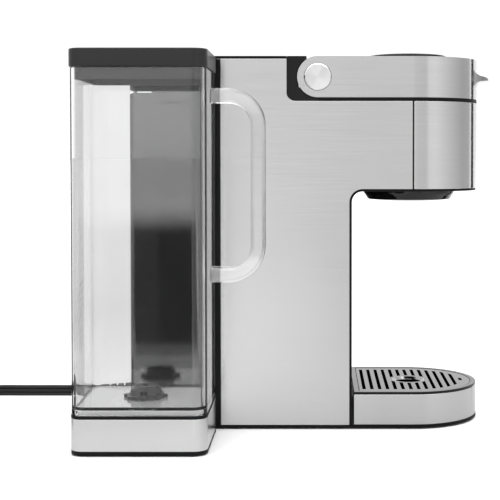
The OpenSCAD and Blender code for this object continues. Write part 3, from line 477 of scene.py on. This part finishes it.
SOFT = {  # width of the rounding, mm
    "left_side_panel": 0.45, "right_side_panel": 0.45, "front_fascia": 0.45,
    "dock_band": 0.45, "tray_band": 0.45, "lift_tab": 0.3, "pivot_caps": 0.15,
    "rear_housing": 0.8, "top_cover": 0.3, "head_deck": 0.4, "hinge_housing": 0.5,
    "bay_liner": 0.3, "outlet_shroud": 0.4, "lid_shell": 0.5, "control_panel": 0.3,
    "brew_key": 0.3, "power_key": 0.3, "size_key_1": 0.3, "size_key_2": 0.3, "size_key_3": 0.3,
    "dock_foot": 0.4, "dock_deck": 0.3, "dock_port": 0.3, "reservoir_tank": 0.5,
    "reservoir_lid": 1.4, "valve_cage": 0.7, "drip_pan": 0.4, "drip_grate": 0.25,
    "grate_ring": 0.2, "base_plate": 0.9, "power_plug": 2.2, "pod_holder": 0.4,
}
for node, width in SOFT.items():
    soften(node, width, segments=3 if width > 0.6 else 2)


# ---------- floor, backdrop and light ----------

def plane(name, middle, u, v):
    return piece(name, [middle - u - v, middle + u - v, middle + u + v, middle - u + v],
                 [(0, 1, 2, 3)], False)


FLOOR_HALF, FLOOR_Z = 60, -0.0002
floor = plane("floor", Vector((0, 0, FLOOR_Z)), Vector((FLOOR_HALF, 0, 0)), Vector((0, FLOOR_HALF, 0)))
paint = Nodes("floor_paint")
paint.link(paint.blend(paint.spread(paint.noise(3, 2), 0, 1), (0.93, 0.93, 0.93), (0.95, 0.95, 0.95)),
           paint.bsdf.inputs["Base Color"])
paint.set(Roughness=0.9, Specular_IOR_Level=0.0)
finish_with(floor, paint.mat)


def tone(nodes, value, stops, low, high):
    """Grey that follows a value between low and high through a list of stops."""
    ramp = nodes.add("ShaderNodeValToRGB")
    fill_ramp(ramp.color_ramp, stops, low, high)
    nodes.link(nodes.spread(value, 0, 1, low, high), ramp.inputs[0])
    return ramp.outputs[0]


def fill_ramp(ramp, stops, low, high):
    ramp.elements[0].position, ramp.elements[1].position = 0, 1
    for at_value, grey in stops:
        where = (at_value - low) / (high - low)
        stop = (ramp.elements[0] if where == 0 else ramp.elements[-1] if where == 1
                else ramp.elements.new(where))
        stop.color = (grey, grey, grey, 1)


def reflected_only(o, nodes):
    nodes.set(Roughness=1.0, Specular_IOR_Level=0.0)
    finish_with(o, nodes.mat)
    o.visible_camera = o.visible_diffuse = o.visible_shadow = False


# How bright the room is in reflections, by bearing (degrees from -X through -Y)
ROOM = ((-180, 1.12), (-150, 1.0), (-100, 0.6), (-60, 0.8), (-25, 1.1), (-5.2, 1.1), (-4.8, 0.83),
        (5, 0.83), (9, 0.74), (25, 0.7), (30, 0.94), (42, 0.96), (55, 0.86), (78, 0.68), (98, 0.54),
        (115, 0.58), (121, 0.62), (122.5, 1.5), (125.8, 1.5), (126.8, 0.004), (137, 0.004),
        (138, 1.17), (179, 1.12), (180, 1.12))
ROOM_TOP = 1.4

# the floor further out takes the same tones, and close by it is paler to the rear; only in reflections
RING, SECTORS = (0.002, 90), 72
FLOOR_TONE, PALEST = 0.64, 0.94  # the room's tone times this, and no more than that
CLOSE_REACH = (0.3, 0.8)  # metres from the spout axis
CLOSE_TONES, CLOSE_Y = (0.57, 0.78), (-0.08, 0.06)
middle = at(0, 0, 0.3)
spokes = [Vector((math.cos(2 * math.pi * i / SECTORS), math.sin(2 * math.pi * i / SECTORS), 0))
          for i in range(SECTORS)]
ring = piece("floor_tones", [middle + v * r for r in RING for v in spokes],
             [(i, (i + 1) % SECTORS, SECTORS + (i + 1) % SECTORS, SECTORS + i) for i in range(SECTORS)],
             False)
tones = Nodes("floor_tones")
apart = tones.add("ShaderNodeSeparateXYZ")
tones.link(tones.coord, apart.inputs[0])


def t_math(operation, a, b):
    node = tones.add("ShaderNodeMath", operation=operation)
    for socket, value in zip(node.inputs, (a, b)):
        if isinstance(value, bpy.types.NodeSocket):
            tones.link(value, socket)
        else:
            socket.default_value = value
    return node.outputs[0]


bearing_at = t_math("ARCTAN2", t_math("SUBTRACT", middle.y, apart.outputs[1]),
                    t_math("SUBTRACT", middle.x, apart.outputs[0]))
by_bearing = tone(tones, bearing_at,
                  [(math.radians(d), min(g * FLOOR_TONE, PALEST)) for d, g in ROOM], -math.pi, math.pi)
reach = tones.add("ShaderNodeVectorMath", operation="DISTANCE")
tones.link(tones.coord, reach.inputs[0])
reach.inputs[1].default_value = middle
close_up = tones.add("ShaderNodeMix", data_type="RGBA")
tones.link(tones.spread(reach.outputs["Value"], 1.0, 0.0, *CLOSE_REACH), close_up.inputs["Factor"])
tones.link(by_bearing, close_up.inputs["A"])
tones.link(tones.spread(apart.outputs[1], *CLOSE_TONES, *CLOSE_Y), close_up.inputs["B"])
tones.link(close_up.outputs["Result"], tones.bsdf.inputs["Base Color"])
reflected_only(ring, tones)

# the floor beside the reservoir: white table, two steps at its edge, dark floor, pale far wall
SIDE_FLOOR = ((-5.5, 0.8), (-4.4, 0.75), (-3.6, 0.55), (-3.1, 0.3), (-2.8, 0.11), (-2.6, 0.05),
              (-0.48, 0.05), (-0.46, 0.24), (-0.4, 0.28), (-0.38, 0.52), (-0.3, 0.6))
SIDE_NEAR, SIDE_FAR = -300, -5500
FRONT_SLOPE, REAR_SLOPE = 0.0835, 0.9  # how fast its front and rear edges spread, going away
SIDE_Z, FLAG_Z = 1, 1.5
corners = [at(x, 166.4 - (x + 60) * FRONT_SLOPE, SIDE_Z) for x in (SIDE_NEAR, SIDE_FAR)]
corners += [at(x, 500 - x * REAR_SLOPE, SIDE_Z) for x in (SIDE_FAR, SIDE_NEAR)]
beside = piece("side_floor", corners, [(0, 1, 2, 3)], False)
dark = Nodes("side_floor")
apart = dark.add("ShaderNodeSeparateXYZ")
dark.link(dark.coord, apart.inputs[0])
dark.link(tone(dark, apart.outputs[0], SIDE_FLOOR, SIDE_FAR * MM, SIDE_NEAR * MM),
          dark.bsdf.inputs["Base Color"])
reflected_only(beside, dark)


def bearing(degrees):
    """Level direction, turned from -X through -Y."""
    a = math.radians(degrees)
    return Vector((-math.cos(a), -math.sin(a), 0))


# the room's black flag carried down to the floor
FLAG_NEAR, FLAG_FAR = 0.22, 4  # metres
wedge = [at(-30.3, -51.8, FLAG_Z) + r * bearing(126.4) for r in (FLAG_NEAR, FLAG_FAR)]
wedge += [at(-25.4, -54.4, FLAG_Z) + r * bearing(137.4) for r in (FLAG_FAR, FLAG_NEAR)]
foot = piece("front_flag", wedge, [(0, 1, 2, 3)], False)
black_card = Nodes("front_flag")
black_card.link(black_card.blend(black_card.noise(4), (0.004,) * 3, (0.005,) * 3),
                black_card.bsdf.inputs["Base Color"])
reflected_only(foot, black_card)

SUN_POWER, SUN_SPREAD, SUN_ALONG = 1.25, 70, Vector((0.25, 0.1, -1))
sun = bpy.data.lights.new("overhead", "SUN")
sun.energy = SUN_POWER
sun.angle = math.radians(SUN_SPREAD)
sun_at = bpy.data.objects.new("overhead", sun)
bpy.context.scene.collection.objects.link(sun_at)
sun_at.matrix_world = look_along(SUN_ALONG, Vector((0, 1, 0)))

# the room: white to the eye and straight through the clear parts, toned by bearing in reflections
world = bpy.data.worlds.new("studio")
bpy.context.scene.world = world
world.use_nodes = True
wt = world.node_tree
wt.nodes.clear()


def w_node(kind, *inputs, **settings):
    node = wt.nodes.new(kind)
    for k, v in settings.items():
        setattr(node, k, v)
    for socket, value in zip(node.inputs, inputs):
        if isinstance(value, bpy.types.NodeSocket):
            wt.links.new(value, socket)
        elif value is not None:
            socket.default_value = value
    return node.outputs[0]


def w_math(operation, *inputs):
    return w_node("ShaderNodeMath", *inputs, operation=operation)


def w_range(value, low, high, to_low, to_high):
    return w_node("ShaderNodeMapRange", value, low, high, to_low, to_high, interpolation_type="SMOOTHSTEP")


HORIZON = (0.0, 0.25, 0.8, 1.2)  # the tones rise from 0.8 at level to 1.2 at a height of 0.25
CEILING = (0.45, 0.8, 0.0, 1.0)  # heights between which the tones give way to ROOM_TOP
AHEAD = (38, 24)  # degrees from +X between which the clear parts come to see the white backdrop
CLEAR_LIFT = 0.9  # how much brighter the room is through the clear parts
BACKDROP = 1.08

coords = wt.nodes.new("ShaderNodeTexCoord").outputs["Generated"]
parts = wt.nodes.new("ShaderNodeSeparateXYZ")
wt.links.new(coords, parts.inputs[0])
along_x, along_y, along_z = parts.outputs
height = w_math("ABSOLUTE", along_z)
turn = w_math("ARCTAN2", w_math("MULTIPLY", along_y, -1.0), w_math("MULTIPLY", along_x, -1.0))
turn = w_math("MULTIPLY_ADD", turn, 0.5 / math.pi, 0.5)
ramp = wt.nodes.new("ShaderNodeValToRGB")
wt.links.new(turn, ramp.inputs[0])
fill_ramp(ramp.color_ramp, ROOM, -180, 180)
around = w_math("MULTIPLY", ramp.outputs["Color"], w_range(height, *HORIZON))
to_top = w_range(height, *CEILING)
around = w_math("ADD", w_math("MULTIPLY", around, w_math("SUBTRACT", 1.0, to_top)),
                w_math("MULTIPLY", to_top, ROOM_TOP))
rays = wt.nodes.new("ShaderNodeLightPath")
ahead = w_range(along_x, *(math.cos(math.radians(a)) for a in AHEAD), 0.0, 1.0)
either = w_math("MAXIMUM", rays.outputs["Is Camera Ray"],
                w_math("MULTIPLY", rays.outputs["Is Transmission Ray"], ahead))
lifted = w_math("MULTIPLY", around,
                w_math("MULTIPLY_ADD", rays.outputs["Is Transmission Ray"], CLEAR_LIFT, 1.0))
mix = w_node("ShaderNodeMixShader", either,
             w_node("ShaderNodeBackground", (1, 1, 1, 1), lifted),
             w_node("ShaderNodeBackground", (1, 1, 1, 1), BACKDROP))
w_out = wt.nodes.new("ShaderNodeOutputWorld")
wt.links.new(mix, w_out.inputs["Surface"])

bpy.context.scene.view_settings.view_transform = "Standard"
